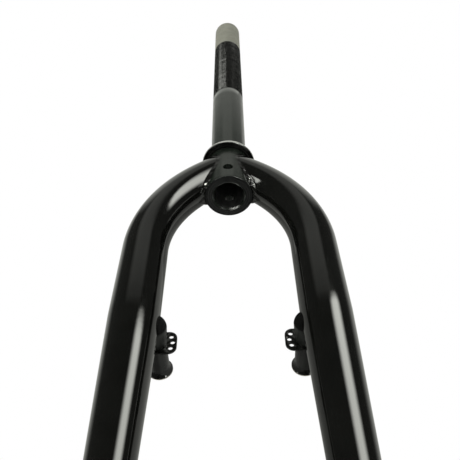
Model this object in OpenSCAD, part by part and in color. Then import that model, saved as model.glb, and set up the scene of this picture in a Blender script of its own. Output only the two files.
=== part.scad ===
// Rigid bicycle fork: threaded steerer, two curved blades welded to it,
// forged fork ends and a pair of rim brake bosses.
//
// Frame: the steerer axis is Z, up. The origin lies in the flat on which the
// crown race sits. +Y is the front of the bicycle, so the rake and the brake
// studs point along +Y. The left blade (rider's left) is at -X.
// All sizes are in millimetres and all angles in degrees.

/* [Steerer] */
// outer diameter of the steerer tube
steerer_d = 25.4; // [24:0.1:26.4]
// bore that takes the stem quill
quill_bore_d = 22.2; // [21:0.1:22.6]
// length of the steerer above the race flat
steerer_len = 264; // [150:0.5:320]
// bore of the thick lower end
butt_bore_d = 20.6; // [18:0.1:21]
// height above the race flat at which the bore steps down
bore_step_h = 46; // [20:1:100]
// outer diameter of the thick lower end, just under the race ring
butt_top_d = 29.6; // [28:0.1:31]
// outer diameter of the thick lower end at its foot
butt_foot_d = 32; // [30:0.1:34]
// how far the steerer reaches below the race flat
butt_drop = 42; // [41:0.1:46]
// rounding of the steerer's foot
foot_round = 1.6; // [0.5:0.1:2.4]
// chamfer round the bore's mouth in the foot
foot_chamfer = 1; // [0.3:0.1:1.6]
// chamfer round the top of the steerer
top_chamfer = 0.9; // [0.3:0.1:1.4]

/* [Brake bolt hole] */
// diameter of the hole through the steerer for a mudguard or brake bolt
bolt_hole_d = 6.8; // [5:0.1:8]
// depth of that hole below the race flat
bolt_hole_drop = 29.3; // [26:0.1:31]

/* [Crown race seat and ring] */
// diameter of the seat turned on the steerer, that the race is pressed on
race_seat_d = 26.5; // [26.2:0.05:26.8]
// height of that seat
race_seat_h = 6.5; // [4:0.1:9]
// diameter of the land below the seat, that the ring fits over
ring_land_d = 27.4; // [27.2:0.1:27.6]
// outer diameter of the ring that the race rests on
ring_d = 37.6; // [34:0.1:40]
// thickness of the ring
ring_t = 2.6; // [2:0.1:4]

/* [Blades] */
// distance between the centre lines of the two blades
blade_centres = 100.7; // [97:0.1:106]
// diameter of the blades at the crown
blade_d = 27.4; // [25.4:0.1:28.6]
// radius of the crown bend, on the centre line
crown_bend_r = 95.4; // [90:0.1:100]
// depth below the race flat at which the blades' centre lines meet the steerer
crown_join_drop = 22.7; // [22:0.1:24]
// depth below the race flat at which the blades start to taper
taper_drop = 152.2; // [130:0.1:170]
// diameter of the blades in the rake bend
rake_d = 19.4; // [17:0.1:21]
// depth below the race flat at which the rake bend starts
rake_drop = 284; // [270:0.1:300]
// radius of the rake bend, on the centre line
rake_bend_r = 180; // [140:1:240]
// angle by which the lower end points forwards
rake_angle = 26; // [16:0.5:32]
// length of the straight tapered tip
tip_len = 34; // [24:0.5:44]
// diameter at the blade's tip
tip_d = 15.2; // [13:0.1:17]

/* [Crown weld] */
// reach of the weld along the steerer and along the blade
weld_leg = 2.2; // [1.6:0.1:2.4]
// how far the weld stands proud of a straight fillet
weld_rise = 0.3; // [0.1:0.05:0.5]
// angle round the blade that the weld covers, open at the bottom
weld_span = 304; // [280:1:306]

/* [Fork ends] */
// gap between the two fork ends, over the hub's locknuts
hub_gap = 100; // [96:0.5:110]
// thickness of a fork end
end_plate_t = 5; // [4:0.1:7]
// width of the axle slot
axle_slot_w = 9.2; // [8.2:0.1:10.2]
// distance from the end of the blade's tip to the axle
axle_past_tip = 20; // [17:0.5:24]
// radius of the fork end round the axle
end_plate_r = 13; // [11.5:0.1:16]
// depth of the fork end's jaws below the axle
jaw_depth = 11; // [8:0.1:14]
// width of the tang that is let into the blade's tip
tang_w = 13; // [10:0.1:14]
// length of the tang inside the blade's tip
tang_grip = 19.6; // [14:0.1:24]

/* [Brake bosses] */
// distance between the two brake studs
stud_centres = 80; // [78:0.1:84]
// depth of the brake studs below the race flat
stud_drop = 155.9; // [150:0.1:164]
// diameter of the welded pedestal at its rounded rear
pedestal_d = 14; // [13:0.1:15]
// diameter of the pedestal at its front face
pedestal_front_d = 10.8; // [10:0.1:13]
// distance from the blade's centre plane to the centre of the rounded rear
pedestal_rear = 2.8; // [1:0.1:5]
// distance from the blade's centre plane to the pedestal's front face
pedestal_front = 14.2; // [13.8:0.1:17]
// thickness of the spring plate
spring_plate_t = 1.2; // [0.8:0.1:2]
// height of the spring plate
spring_plate_h = 14.6; // [14:0.1:18]
// how far the spring plate reaches inwards from the stud axis
spring_plate_reach = 11.2; // [10.8:0.1:13]
// corner rounding of the spring plate
spring_plate_corner = 4.4; // [2:0.1:6]
// diameter of the three spring holes
spring_hole_d = 2.6; // [2:0.1:3]
// distance of the spring holes from the stud axis
spring_hole_r = 8.9; // [8.4:0.1:9.2]
// angle between neighbouring spring holes
spring_hole_step = 26; // [25:1:30]
// diameter of the brake stud
stud_d = 8; // [7.6:0.1:8.4]
// length of the stud in front of the spring plate
stud_len = 20.6; // [17:0.1:22]
// diameter of the collar at the stud's root
collar_d = 12; // [10:0.1:13]
// thickness of that collar
collar_t = 2.4; // [1.5:0.1:3]
// core diameter of the thread in the stud's end
stud_thread_d = 5; // [4.6:0.1:5.2]
// depth of the thread in the stud's end
stud_thread_depth = 15; // [10:0.5:18]

/* [Stud sleeves] */
// outer diameter of the sleeve over the stud
sleeve_d = 11; // [10:0.1:12]
// length of the sleeve
sleeve_len = 19.2; // [14:0.1:20]
// diameter of the sleeve's flared lip
sleeve_lip_d = 14.2; // [12.5:0.1:15]
// thickness of the lip
sleeve_lip_t = 1.4; // [1:0.1:2.2]
// length over which the sleeve flares out
sleeve_flare = 2.6; // [1:0.1:4]

/* [Fits] */
// gap left where two welded or brazed pieces meet
weld_gap = 0.1; // [0.05:0.01:0.2]
// clearance between the stud and its sleeve, on the diameter
sleeve_clearance = 0.3; // [0.2:0.05:0.5]

/* [Part] */
// which piece to show

/* [Hidden] */
$fn = 32;
LEFT = -1;
RIGHT = 1;
steel_grey = [0.3, 0.31, 0.29];
bright_steel = [0.8, 0.8, 0.79];
black_paint = [0.03, 0.03, 0.03];
black_plastic = [0.07, 0.07, 0.07];
cut_margin = 1;
blade_x = blade_centres / 2;
blade_r = blade_d / 2;
steerer_r = steerer_d / 2;
shoulder_z = -ring_t;
// the crown bend's turn from the straight blade to the steerer's surface
join_sweep = acos(1 - (blade_x - butt_foot_d / 2) / crown_bend_r);
// it is swept on until its end lies inside the steerer
crown_sweep = acos(1 - (blade_x - butt_foot_d / 6) / crown_bend_r);
// heights along the blade, from the crown to the fork end
crown_bend_z = -crown_join_drop - crown_bend_r * sin(join_sweep);
taper_z = -taper_drop;
rake_z = -rake_drop;
// the rake bend ends here, in the plane of the blade
rake_end_y = rake_bend_r * (1 - cos(rake_angle));
rake_end_z = rake_z - rake_bend_r * sin(rake_angle);
// the axle lies straight on from the tip
axle_reach = tip_len + axle_past_tip;
axle_y = rake_end_y + axle_reach * sin(rake_angle);
axle_z = rake_end_z - axle_reach * cos(rake_angle);
// upper end of the tang, along the tip from the rake bend
tang_top_z = tang_grip - tip_len - tip_d / 2;
// place of the plates and studs
end_plate_x = hub_gap / 2 + end_plate_t / 2;
stud_x = stud_centres / 2;
stud_z = -stud_drop;
plate_front = pedestal_front + spring_plate_t;
collar_front = plate_front + collar_t;
stud_socket_depth = 2;
// a joint of two round surfaces keeps this small step, so that it closes cleanly
seam_step = 0.02;
spigot_d = stud_d - 1;

// Puts a shape drawn on the right side of the fork on the side asked for.
module on_side(side) {
  mirror([side == LEFT ? 1 : 0, 0, 0]) children();
}

// Turns a shape drawn along Z so that it points forwards, at a stud's place.
module at_stud(y) {
  translate([stud_x, y, stud_z]) rotate([-90, 0, 0]) children();
}

// Places a shape at the end of the rake bend, with Z up the blade.
module at_rake_end() {
  translate([blade_x, rake_end_y, rake_end_z]) rotate([rake_angle, 0, 0]) children();
}

// Solid of the steerer's thick lower end, widened by a gap all round.
module butt_solid(gap) {
  height = butt_drop - ring_t;
  slope = (butt_foot_d - butt_top_d) / 2 / height;
  reach = 6;
  translate([0, 0, -butt_drop - reach])
    cylinder(
      h = height + 2 * reach,
      r1 = butt_foot_d / 2 + gap + slope * reach,
      r2 = butt_top_d / 2 + gap - slope * reach,
      $fn = 64
    );
}

// Radius of the thick lower end at height z.
function butt_r(z) =
  butt_foot_d / 2 + (z + butt_drop) * (butt_top_d - butt_foot_d) / 2 / (butt_drop - ring_t);

// Point on a tube of radius r round the crown bend, a along the bend and b round the tube.
function bend_point(a, b, r) = [
  blade_x - crown_bend_r + (crown_bend_r + r * cos(b)) * cos(a),
  r * sin(b),
  crown_bend_z + (crown_bend_r + r * cos(b)) * sin(a)
];

// How far a point lies outside the thick lower end.
function outside_butt(p) = norm([p[0], p[1]]) - butt_r(p[2]);

// Turn along the bend at which the line at b comes within a gap of the lower end, by halving.
function seam_turn(b, r, gap, low, high, n) =
  let (middle = (low + high) / 2)
  n == 0 ? middle
  : outside_butt(bend_point(middle, b, r)) > gap ? seam_turn(b, r, gap, middle, high, n - 1)
  : seam_turn(b, r, gap, low, middle, n - 1);

// Place on the unrolled lower end: distance round it and height.
function unroll(p) = [atan2(p[1], p[0]) * PI / 180 * butt_r(p[2]), p[2]];

// Place in space of such a point, a gap outside the lower end.
function roll_up(q, gap) =
  let (turn = q[0] / butt_r(q[1]) * 180 / PI)
  [(butt_r(q[1]) + gap) * cos(turn), (butt_r(q[1]) + gap) * sin(turn), q[1]];

// Half section of the steerer, from its foot to its top.
module steerer_section() {
  foot_r = butt_foot_d / 2;
  bore_foot_r = butt_bore_d / 2;
  land_r = ring_land_d / 2;
  seat_r = race_seat_d / 2;
  top_z = steerer_len;
  seat_chamfer = 0.4;
  polygon([
    [bore_foot_r, -butt_drop + foot_chamfer],
    [bore_foot_r + foot_chamfer, -butt_drop],
    [foot_r - foot_round, -butt_drop],
    [foot_r, -butt_drop + foot_round],
    [butt_top_d / 2, shoulder_z],
    [land_r, shoulder_z],
    [land_r, 0],
    [seat_r, 0],
    [seat_r, race_seat_h - seat_chamfer],
    [seat_r - seat_chamfer, race_seat_h],
    [steerer_r, race_seat_h],
    [steerer_r, top_z - top_chamfer],
    [steerer_r - top_chamfer, top_z],
    [quill_bore_d / 2, top_z],
    [quill_bore_d / 2, bore_step_h],
    [bore_foot_r, bore_step_h - 2]
  ]);
  translate([foot_r - foot_round, -butt_drop + foot_round]) circle(r = foot_round, $fn = 16);
}

// Outline of the spring plate, seen along its thickness, inwards is -X.
module spring_plate_outline() {
  tongue = spring_plate_reach - spring_plate_corner;
  corner_y = spring_plate_h / 2 - spring_plate_corner;
  difference() {
    union() {
      circle(d = spring_plate_h);
      translate([-tongue, -spring_plate_h / 2]) square([tongue, spring_plate_h]);
      translate([-spring_plate_reach, -corner_y]) square([spring_plate_corner, 2 * corner_y]);
      for (s = [-1, 1]) translate([-tongue, s * corner_y]) circle(r = spring_plate_corner);
    }
    for (i = [-1, 0, 1])
      rotate(i * spring_hole_step) translate([-spring_hole_r, 0]) circle(d = spring_hole_d, $fn = 16);
    circle(d = spigot_d + 2 * weld_gap);
  }
}

module steerer_tube() {
  color(steel_grey)
    difference() {
      rotate_extrude($fn = 64) steerer_section();
      translate([0, butt_foot_d, -bolt_hole_drop])
        rotate([90, 0, 0])
          cylinder(h = 2 * butt_foot_d, d = bolt_hole_d);
    }
}

module crown_race_ring() {
  color(bright_steel)
    translate([0, 0, -ring_t])
      difference() {
        cylinder(h = ring_t, d = ring_d, $fn = 64);
        translate([0, 0, -cut_margin])
          cylinder(h = ring_t + 2 * cut_margin, d = ring_land_d + 2 * weld_gap, $fn = 64);
      }
}

// Blade drawn on the right side: crown bend, straight, taper, rake bend, tip.
module blade() {
  lap = 0.3;
  difference() {
    union() {
      translate([blade_x - crown_bend_r, 0, crown_bend_z])
        rotate([90, 0, 0])
          rotate_extrude(angle = crown_sweep, $fn = 90)
            translate([crown_bend_r, 0]) circle(r = blade_r);
      translate([blade_x, 0, taper_z])
        cylinder(h = crown_bend_z - taper_z, r = blade_r);
      translate([blade_x, 0, rake_z])
        cylinder(h = taper_z - rake_z, r1 = rake_d / 2, r2 = blade_r);
      translate([blade_x, rake_bend_r, rake_z])
        rotate([-90, 0, 0])
          rotate([0, 90, 0])
            rotate_extrude(angle = rake_angle, $fn = 90)
              translate([rake_bend_r, 0]) circle(d = rake_d);
      at_rake_end() {
        translate([0, 0, -tip_len])
          cylinder(h = tip_len + lap, r1 = tip_d / 2, r2 = rake_d / 2 - seam_step);
        translate([0, 0, -tip_len]) sphere(r = tip_d / 2 - seam_step, $fn = 24);
      }
    }
    butt_solid(weld_gap);
    tang_slot();
  }
}

// The slab that the blade's tip is slotted for, to take the fork end's tang.
module tang_slot() {
  slot_w = end_plate_t + 2 * weld_gap;
  translate([end_plate_x - blade_x, 0, 0])
    at_rake_end()
      translate([-slot_w / 2, -blade_d, -axle_reach])
        cube([slot_w, 2 * blade_d, axle_reach + tang_top_z + weld_gap]);
}

module left_blade() {
  color(black_paint) on_side(LEFT) blade();
}

module right_blade() {
  color(black_paint) on_side(RIGHT) blade();
}

// Weld drawn on the right side, a bead along the line where blade and steerer
// meet, open at the crotch under the foot. Each section has its root in the
// corner, one edge on the steerer, one on the blade, and a curve between them
// that stands a little proud. The bead thins out towards its two ends.
module crown_weld() {
  count = 61;
  curve = 4;
  rows = curve + 2;
  tube_r = blade_r + weld_gap;
  // the flat facets of the bead need a little more room on the round steerer
  room = weld_gap + 0.06;
  lowest = -butt_drop + foot_round + 0.2;
  highest = shoulder_z - 1.5 * weld_gap;
  turn_at = function (b) seam_turn(b, tube_r, room, 0, crown_sweep, 24);
  root_at = function (b) bend_point(turn_at(b), b, tube_r);
  points = [
    for (i = [0:count - 1])
      let (
        b = weld_span * (i / (count - 1) - 0.5),
        leg = weld_leg * min(1, 0.35 + min(i, count - 1 - i) / 5),
        root = root_at(b),
        run = unroll(root_at(b + 4)) - unroll(root_at(b - 4)),
        flat = unroll(root) + leg * [-run[1], run[0]] / norm(run),
        upper = roll_up([flat[0], min(max(flat[1], lowest), highest)], room),
        back = leg / (crown_bend_r + tube_r * cos(b)) * 180 / PI,
        lower = bend_point(turn_at(b) - back, b, tube_r),
        middle = (upper + lower) / 2,
        proud = middle + 2 * weld_rise * leg / weld_leg * (middle - root) / norm(middle - root)
      )
      each concat(
        [root],
        [
          for (j = [0:curve])
            let (t = j / curve)
            (1 - t) * (1 - t) * upper + 2 * t * (1 - t) * proud + t * t * lower
        ]
      )
  ];
  last = (count - 1) * rows;
  skin = [
    for (i = [0:count - 2])
      for (j = [0:rows - 1])
        let (
          here = i * rows + j,
          beside = i * rows + (j + 1) % rows,
          next = here + rows,
          opposite = beside + rows
        )
        each [[here, opposite, beside], [here, next, opposite]]
  ];
  ends = [for (j = [1:rows - 2]) each [[0, j, j + 1], [last, last + j + 1, last + j]]];
  polyhedron(points, concat(skin, ends));
}

module left_crown_weld() {
  color(black_paint) on_side(LEFT) crown_weld();
}

module right_crown_weld() {
  color(black_paint) on_side(RIGHT) crown_weld();
}

// Fork end drawn flat: the origin is the axle, +X is the front, +Y is up.
// The slot opens downwards and the tang leans back along the blade.
module fork_end_outline() {
  tang_len = axle_reach + tang_top_z;
  shoulder = end_plate_r - 1.5;
  jaw_chamfer = 2.5;
  slot_r = axle_slot_w / 2;
  difference() {
    union() {
      circle(r = end_plate_r);
      polygon([
        [-end_plate_r, 0],
        [-end_plate_r, jaw_chamfer - jaw_depth],
        [jaw_chamfer - end_plate_r, -jaw_depth],
        [end_plate_r - jaw_chamfer, -jaw_depth],
        [end_plate_r, jaw_chamfer - jaw_depth],
        [end_plate_r, 0]
      ]);
      rotate(rake_angle)
        polygon([
          [-shoulder, 3],
          [shoulder, 3],
          [tang_w / 2, 18],
          [tang_w / 2, tang_len],
          [-tang_w / 2, tang_len],
          [-tang_w / 2, 18]
        ]);
    }
    circle(r = slot_r);
    translate([-slot_r, -jaw_depth - cut_margin])
      square([axle_slot_w, jaw_depth + cut_margin]);
  }
}

module fork_end() {
  translate([hub_gap / 2, axle_y, axle_z])
    rotate([90, 0, 90])
      linear_extrude(end_plate_t) fork_end_outline();
}

module left_fork_end() {
  color(black_paint) on_side(LEFT) fork_end();
}

module right_fork_end() {
  color(black_paint) on_side(RIGHT) fork_end();
}

// Pedestal drawn on the right side, with a rounded rear, coped to fit the blade.
module pedestal() {
  length = pedestal_front - pedestal_rear;
  taper_slope = (blade_r - rake_d / 2) / (taper_z - rake_z);
  cut_h = 60;
  cut_bottom = stud_z - cut_h / 2;
  cut_split = max(taper_z, cut_bottom);
  difference() {
    at_stud(pedestal_rear) {
      sphere(d = pedestal_d);
      cylinder(h = length, r1 = pedestal_d / 2 - seam_step, r2 = pedestal_front_d / 2);
    }
    translate([blade_x, 0, cut_bottom])
      cylinder(
        h = cut_split - cut_bottom,
        r1 = blade_r + weld_gap - taper_slope * (cut_split - cut_bottom),
        r2 = blade_r + weld_gap
      );
    translate([blade_x, 0, cut_split])
      cylinder(h = cut_h, r = blade_r + weld_gap);
    at_stud(pedestal_front - stud_socket_depth)
      cylinder(h = stud_socket_depth + cut_margin, d = spigot_d + 2 * weld_gap);
  }
}

module left_pedestal() {
  color(black_paint) on_side(LEFT) pedestal();
}

module right_pedestal() {
  color(black_paint) on_side(RIGHT) pedestal();
}

module spring_plate() {
  at_stud(pedestal_front) linear_extrude(spring_plate_t) spring_plate_outline();
}

module left_spring_plate() {
  color(black_paint) on_side(LEFT) spring_plate();
}

module right_spring_plate() {
  color(black_paint) on_side(RIGHT) spring_plate();
}

module brake_stud() {
  spigot_len = stud_socket_depth - 0.3 + spring_plate_t;
  difference() {
    union() {
      at_stud(plate_front - spigot_len) cylinder(h = spigot_len, d = spigot_d);
      at_stud(plate_front) cylinder(h = collar_t, d = collar_d);
      at_stud(collar_front) cylinder(h = stud_len - collar_t, d = stud_d);
    }
    at_stud(plate_front + stud_len - stud_thread_depth)
      cylinder(h = stud_thread_depth + cut_margin, d = stud_thread_d);
  }
}

module left_brake_stud() {
  color(black_paint) on_side(LEFT) brake_stud();
}

module right_brake_stud() {
  color(black_paint) on_side(RIGHT) brake_stud();
}

module stud_sleeve() {
  bore_r = (stud_d + sleeve_clearance) / 2;
  body_r = sleeve_d / 2;
  lip_r = sleeve_lip_d / 2;
  lip_z = sleeve_len - sleeve_lip_t;
  at_stud(collar_front)
    rotate_extrude()
      polygon([
        [bore_r, 0],
        [body_r - 0.5, 0],
        [body_r, 0.5],
        [body_r, lip_z - sleeve_flare],
        [lip_r, lip_z],
        [lip_r, sleeve_len],
        [bore_r, sleeve_len]
      ]);
}

module left_stud_sleeve() {
  color(black_plastic) on_side(LEFT) stud_sleeve();
}

module right_stud_sleeve() {
  color(black_plastic) on_side(RIGHT) stud_sleeve();
}

steerer_tube();
crown_race_ring();
left_blade();
right_blade();
left_crown_weld();
right_crown_weld();
left_fork_end();
right_fork_end();
left_pedestal();
right_pedestal();
left_spring_plate();
right_spring_plate();
left_brake_stud();
right_brake_stud();
left_stud_sleeve();
right_stud_sleeve();
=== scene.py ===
"""Looks of a rigid bicycle fork: enamelled blades, threaded steerer, welds and brake bosses.

Sizes are in millimetres and angles in degrees, unless a line says otherwise.
X points to the fork's right side, Y forwards and Z up, from the race flat.
"""

import logging
import math
from dataclasses import dataclass, field
from enum import Enum

import bmesh
import bpy
import numpy as np
from mathutils import Matrix


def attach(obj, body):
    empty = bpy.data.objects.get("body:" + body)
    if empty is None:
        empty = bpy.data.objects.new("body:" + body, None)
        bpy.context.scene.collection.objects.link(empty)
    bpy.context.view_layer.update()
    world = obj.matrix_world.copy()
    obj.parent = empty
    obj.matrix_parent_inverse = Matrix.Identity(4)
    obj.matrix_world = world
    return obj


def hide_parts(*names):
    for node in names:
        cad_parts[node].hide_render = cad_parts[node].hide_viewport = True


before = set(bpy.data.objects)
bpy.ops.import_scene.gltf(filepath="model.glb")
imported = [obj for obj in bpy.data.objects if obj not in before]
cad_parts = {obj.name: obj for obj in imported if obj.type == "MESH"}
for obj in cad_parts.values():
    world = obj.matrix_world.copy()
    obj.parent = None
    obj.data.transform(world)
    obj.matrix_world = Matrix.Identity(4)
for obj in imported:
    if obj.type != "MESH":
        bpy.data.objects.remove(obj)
log = logging.getLogger("bicycle_fork")

Triple = tuple[float, float, float]
Points = tuple[tuple[float, ...], ...]

MM = 0.001
TAU = 2.0 * math.pi
DEGREES = 180.0 / math.pi
# Edges sharper than this stay sharp, where a piece names no angle of its own.
SHARP = 32.0
# Points closer than this, in metres, become one when a piece is merged.
MERGE = 2e-7
# The point below the crown, in metres, from which two of the cards are aimed.
CROWN = (0.015, -0.01, -0.04)
WHITE = (1.0, 1.0, 1.0, 1.0)
ROOM_TINT = (0.985, 1.0, 0.93, 1.0)


class Side(Enum):
    """The two sides of the fork, with the sign of X on each."""

    LEFT = -1
    RIGHT = 1

    @property
    def word(self) -> str:
        """The side's name in lower case, as the CAD nodes use it."""
        return self.name.lower()


class Axis(Enum):
    """The axes that pieces are turned about, with the order of across, beside and along."""

    Y = (0, 2, 1)
    Z = (0, 1, 2)


class Surface(Enum):
    """The finishes that the fork's surfaces have."""

    ENAMEL = "enamel"
    RAW_PAINT = "raw_paint"
    THREAD = "thread"
    PRIMER = "primer"
    BRIGHT = "bright"
    MOULDED = "moulded"
    WELD = "weld"
    BORE = "bore"
    CAST = "cast"
    FOOT = "foot"
    HOLE = "hole"
    PALE_EDGE = "pale_edge"


class NodeTree:
    """A short way to add and join shader nodes."""

    def __init__(self, owner: bpy.types.ID) -> None:
        """Clears the owner's node tree.

        Args:
            owner: a material or a world.
        """
        owner.use_nodes = True
        self.tree = owner.node_tree
        self.tree.nodes.clear()

    def add(self, kind: str, inputs: dict | None = None, **settings: object) -> bpy.types.Node:
        """Adds a node and fills its inputs.

        Args:
            kind: the node's type, without the word ShaderNode.
            inputs: for each input, by name or place, an output socket or a plain value.
            settings: properties of the node, by name.

        Returns:
            The new node.
        """
        node = self.tree.nodes.new("ShaderNode" + kind)
        for key, value in settings.items():
            setattr(node, key, value)
        for key, value in (inputs or {}).items():
            if isinstance(value, bpy.types.NodeSocket):
                self.tree.links.new(value, node.inputs[key])
            else:
                node.inputs[key].default_value = value
        return node

    def math(self, operation: str, *values: object) -> bpy.types.NodeSocket:
        """Adds a Math node that works on sockets or numbers, and returns its result."""
        return self.add("Math", dict(enumerate(values)), operation=operation).outputs[0]

    def ramp(
        self, value: object, low: float, high: float, out_low: float = 0.0, out_high: float = 1.0
    ) -> bpy.types.NodeSocket:
        """Maps a value smoothly from one range to another, and holds it at the ends.

        Args:
            value: the input socket.
            low: input that gives out_low.
            high: input that gives out_high.
            out_low: result at low.
            out_high: result at high.

        Returns:
            The output socket.
        """
        ends = {"From Min": low, "From Max": high, "To Min": out_low, "To Max": out_high}
        node = self.add("MapRange", {"Value": value, **ends}, interpolation_type="SMOOTHSTEP")
        return node.outputs[0]

    def noise(self, vector: object, scale: float, detail: float = 3.0) -> bpy.types.NodeSocket:
        """Adds noise in three dimensions, about 0.5 on average.

        Args:
            vector: the coordinates.
            scale: waves per metre.
            detail: number of finer octaves.

        Returns:
            The output socket.
        """
        inputs = {"Vector": vector, "Scale": scale, "Detail": detail}
        return self.add("TexNoise", inputs).outputs["Fac"]

    def blend(self, factor: object, first: object, second: object) -> bpy.types.NodeSocket:
        """Mixes two colours: the first at factor 0, the second at factor 1."""
        inputs = {"Factor": factor, "A": first, "B": second}
        return self.add("Mix", inputs, data_type="RGBA").outputs["Result"]

    def choose(self, factor: object, first: object, second: object) -> bpy.types.NodeSocket:
        """Mixes two shaders: the first at factor 0, the second at factor 1."""
        return self.add("MixShader", {0: factor, 1: first, 2: second}).outputs[0]

    def glow(self, strength: object, colour: tuple = ROOM_TINT) -> bpy.types.NodeSocket:
        """Adds light of a strength, in the room's tint unless a colour is named."""
        return self.add("Emission", {"Color": colour, "Strength": strength}).outputs[0]

    def show(self, shader: bpy.types.NodeSocket, kind: str = "OutputMaterial") -> None:
        """Sends a shader to the output of the material or world."""
        self.add(kind, {"Surface": shader})


@dataclass(frozen=True)
class Finish:
    """One finish of the fork, as a shader worked out from the place on the object.

    A main colour and a second colour are mixed by patches of noise, the
    roughness wanders by a little, and two sizes of bump make the skin. Scales
    are in waves per metre and heights in metres.
    """

    name: str
    colour: Triple
    second: Triple
    roughness: float
    roughness_spread: float
    metallic: float = 0.0
    patch_scale: float = 60.0
    patch_edges: tuple[float, float] = (0.35, 0.65)
    wander_finer: float = 2.6
    wander_edges: tuple[float, float] = (0.3, 0.7)
    wave_scale: float = 240.0
    wave_height: float = 0.00002
    grain_scale: float = 2400.0
    grain_height: float = 0.000002
    ior: float = 1.5
    stretch: Triple = (1.0, 1.0, 1.0)

    def build(self) -> bpy.types.Material:
        """Builds the material.

        Returns:
            The material, made once and then reused.
        """
        known = bpy.data.materials.get(self.name)
        if known is not None:
            return known
        material = bpy.data.materials.new(self.name)
        nodes = NodeTree(material)
        place = nodes.add("TexCoord").outputs["Object"]
        place = nodes.add("Mapping", {"Vector": place, "Scale": self.stretch}).outputs["Vector"]
        patches = nodes.ramp(nodes.noise(place, self.patch_scale), *self.patch_edges)
        spread = (self.roughness - self.roughness_spread, self.roughness + self.roughness_spread)
        wander = nodes.noise(place, self.patch_scale * self.wander_finer)
        waves = nodes.math("MULTIPLY", nodes.noise(place, self.wave_scale, 1.0), self.wave_height)
        grain = nodes.math("MULTIPLY", nodes.noise(place, self.grain_scale, 2.0), self.grain_height)
        bump = nodes.add("Bump", {"Distance": 1.0, "Height": nodes.math("ADD", waves, grain)})
        shader = nodes.add("BsdfPrincipled", {
            "Base Color": nodes.blend(patches, (*self.colour, 1.0), (*self.second, 1.0)),
            "Roughness": nodes.ramp(wander, *self.wander_edges, *spread),
            "Metallic": self.metallic,
            "IOR": self.ior,
            "Normal": bump.outputs["Normal"],
        })
        nodes.show(shader.outputs["BSDF"])
        return material


FINISHES: dict[Surface, Finish] = {
    Surface.ENAMEL: Finish(
        "black_enamel", (0.0032, 0.0034, 0.0028), (0.0046, 0.0048, 0.0040), 0.075, 0.015,
        wave_height=0.000012, grain_height=0.0000006,
    ),
    Surface.RAW_PAINT: Finish(
        "thin_black_enamel", (0.0105, 0.0145, 0.0105), (0.0145, 0.0185, 0.0140), 0.2, 0.03,
        wave_height=0.000006, grain_height=0.0000015,
    ),
    # The thread's enamel is darker than the same enamel on the plain tube below: painted shade in
    # the grooves.
    Surface.THREAD: Finish(
        "thread_enamel_with_painted_shade", (0.0012, 0.0013, 0.0010), (0.0020, 0.0021, 0.0017), 0.17, 0.04,
        wave_scale=190.0, wave_height=0.0005, grain_height=0.0, ior=1.33, stretch=(0.05, 0.05, 1.0),
    ),
    Surface.PRIMER: Finish(
        "zinc_grey_steel", (0.215, 0.216, 0.170), (0.250, 0.250, 0.198), 0.52, 0.05,
        metallic=0.15, patch_scale=90.0, wave_height=0.000004, grain_height=0.000004,
    ),
    # Bare machined steel on the race ring's rim, and also the bright balls that paint glints on the
    # welds.
    Surface.BRIGHT: Finish(
        "turned_steel_and_painted_glints", (0.72, 0.72, 0.70), (0.80, 0.80, 0.78), 0.24, 0.05,
        metallic=1.0, wave_height=0.0, grain_height=0.000003, stretch=(1.0, 1.0, 9.0),
    ),
    Surface.MOULDED: Finish(
        "black_moulding", (0.014, 0.0145, 0.0135), (0.020, 0.0205, 0.019), 0.24, 0.04,
        wave_height=0.00001, grain_height=0.000003, ior=1.27,
    ),
    Surface.WELD: Finish(
        "enamel_on_weld", (0.0032, 0.0034, 0.0028), (0.0046, 0.0048, 0.0040), 0.08, 0.02,
        wave_scale=420.0, wave_height=0.00006, grain_height=0.000001,
    ),
    # Near-black matte that darkens the bolt hole's wall and the pedestal's rear dome: painted
    # shade.
    Surface.HOLE: Finish(
        "painted_shade_black", (0.0012, 0.0012, 0.0011), (0.0025, 0.0025, 0.0023), 0.85, 0.05,
        wave_height=0.00001, grain_height=0.000002, ior=1.25,
    ),
    Surface.FOOT: Finish(
        "enamel_on_turned_face", (0.0060, 0.0066, 0.0062), (0.0100, 0.0108, 0.0102), 0.15, 0.03,
        wave_height=0.00002, grain_height=0.000003,
    ),
    Surface.CAST: Finish(
        "satin_enamel_on_casting", (0.010, 0.0115, 0.0100), (0.014, 0.0155, 0.0135), 0.34, 0.05,
        wave_height=0.00002, grain_height=0.000003, ior=1.27,
    ),
    Surface.PALE_EDGE: Finish(
        "pale_moulded_edge", (0.50, 0.47, 0.37), (0.58, 0.55, 0.44), 0.5, 0.05,
        wave_height=0.00001, grain_height=0.000002,
    ),
    Surface.BORE: Finish(
        "bore_overspray", (0.018, 0.019, 0.0175), (0.028, 0.029, 0.027), 0.5, 0.08,
        patch_scale=140.0, wave_height=0.00001, grain_height=0.000003,
    ),
}


def unit(vectors: np.ndarray) -> np.ndarray:
    """Scales each vector, along the last axis of the array, to length one."""
    return vectors / np.linalg.norm(vectors, axis=-1, keepdims=True)


def ease(share: np.ndarray) -> np.ndarray:
    """Smooth step s * s * (3 - 2 s) of a share that is held between 0 and 1."""
    share = np.clip(share, 0.0, 1.0)
    return share * share * (3 - 2 * share)


def circle_angles(count: int) -> np.ndarray:
    """Angles of a full turn in radians, without the last."""
    return np.arange(count) * TAU / count


def arc(radius: float, start: float, end: float, count: int) -> np.ndarray:
    """Points radius * (cos a, sin a), with the angle a running from start to end."""
    angle = np.radians(np.linspace(start, end, count))
    return radius * np.stack([np.cos(angle), np.sin(angle)], axis=-1)


def around_z(radius: np.ndarray, angle: np.ndarray, z: np.ndarray) -> np.ndarray:
    """Points (radius cos a, radius sin a, z), from arrays that broadcast together."""
    spots = np.broadcast_arrays(radius * np.cos(angle), radius * np.sin(angle), z)
    return np.stack(spots, axis=-1)


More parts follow.
